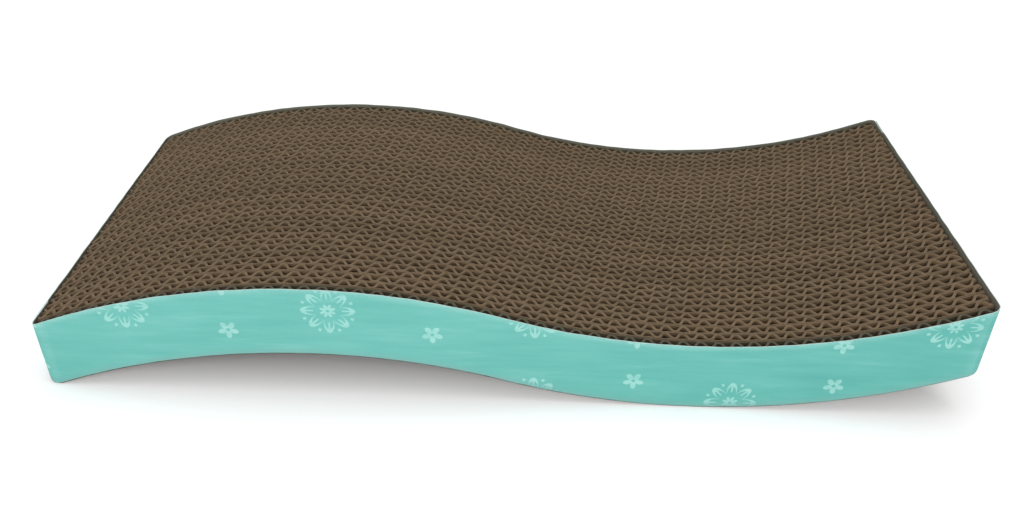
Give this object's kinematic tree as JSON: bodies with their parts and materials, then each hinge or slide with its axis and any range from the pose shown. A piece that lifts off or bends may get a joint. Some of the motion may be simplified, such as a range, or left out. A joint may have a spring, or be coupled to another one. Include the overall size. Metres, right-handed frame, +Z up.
{
  "type": "cat scratcher",
  "caption": "Wave shaped cat scratcher of upright corrugated board strips in a printed card wrap, standing on its trough and one end.",
  "frame": {"origin": "centre of the bounding box's underside, on the floor that the scratcher stands on", "axes": "+X along the length from the crest end to the trough end, +Y from the front panel to the rear one, +Z up"},
  "size_m": [0.4504, 0.1992, 0.0658],
  "materials": {
    "corrugated_board": "raw brown kraft board, cut edges of the flutes on top",
    "printed_card": null
  },
  "bodies": {
    "root": {"strip_01": "corrugated_board", "strip_02": "corrugated_board", "strip_03": "corrugated_board", "strip_04": "corrugated_board", "strip_05": "corrugated_board", "strip_06": "corrugated_board", "strip_07": "corrugated_board", "strip_08": "corrugated_board", "strip_09": "corrugated_board", "strip_10": "corrugated_board", "strip_11": "corrugated_board", "strip_12": "corrugated_board", "strip_13": "corrugated_board", "strip_14": "corrugated_board", "strip_15": "corrugated_board", "strip_16": "corrugated_board", "strip_17": "corrugated_board", "strip_18": "corrugated_board", "strip_19": "corrugated_board", "strip_20": "corrugated_board", "strip_21": "corrugated_board", "strip_22": "corrugated_board", "strip_23": "corrugated_board", "strip_24": "corrugated_board", "strip_25": "corrugated_board", "strip_26": "corrugated_board", "strip_27": "corrugated_board", "strip_28": "corrugated_board", "strip_29": "corrugated_board", "strip_30": "corrugated_board", "strip_31": "corrugated_board", "strip_32": "corrugated_board", "strip_33": "corrugated_board", "strip_34": "corrugated_board", "strip_35": "corrugated_board", "strip_36": "corrugated_board", "wrap_front": "printed_card", "wrap_rear": "printed_card"}
  },
  "joints": []
}
